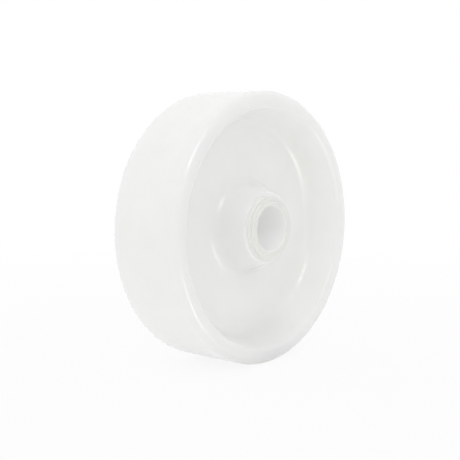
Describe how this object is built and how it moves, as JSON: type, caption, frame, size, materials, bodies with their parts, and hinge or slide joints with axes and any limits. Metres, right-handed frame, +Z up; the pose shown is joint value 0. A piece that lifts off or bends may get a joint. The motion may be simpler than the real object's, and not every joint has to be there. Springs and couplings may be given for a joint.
{
  "type": "caster wheel",
  "caption": "Moulded translucent plastic caster wheel with a dished web and rounded rim, rolling on a clamped axle sleeve through flanged bushes.",
  "frame": {"origin": "centre of the wheel, on the axle's axis in the middle of the rim's width", "axes": "+Y along the axle, away from the side that the picture shows; +Z up; +X completes the frame, along the rolling direction"},
  "size_m": [0.05, 0.016, 0.05],
  "materials": {
    "natural_nylon": "moulded natural nylon, milky and slightly translucent, smooth",
    "white_acetal": "moulded white acetal, smooth",
    "washer_nylon": "pressed natural nylon sheet, satin",
    "sleeve_acetal": "turned white acetal tube, fine satin"
  },
  "bodies": {
    "axle_set": {"axle_sleeve": "sleeve_acetal", "near_washer": "washer_nylon", "far_washer": "washer_nylon"},
    "wheel_set": {"wheel": "natural_nylon", "near_bush": "white_acetal", "far_bush": "white_acetal"}
  },
  "joints": [
    {"name": "wheel_roll", "type": "hinge", "parent": "axle_set", "child": "wheel_set", "pos_m": [0, 0, 0], "axis": [0, 1, 0], "continuous": true}
  ]
}
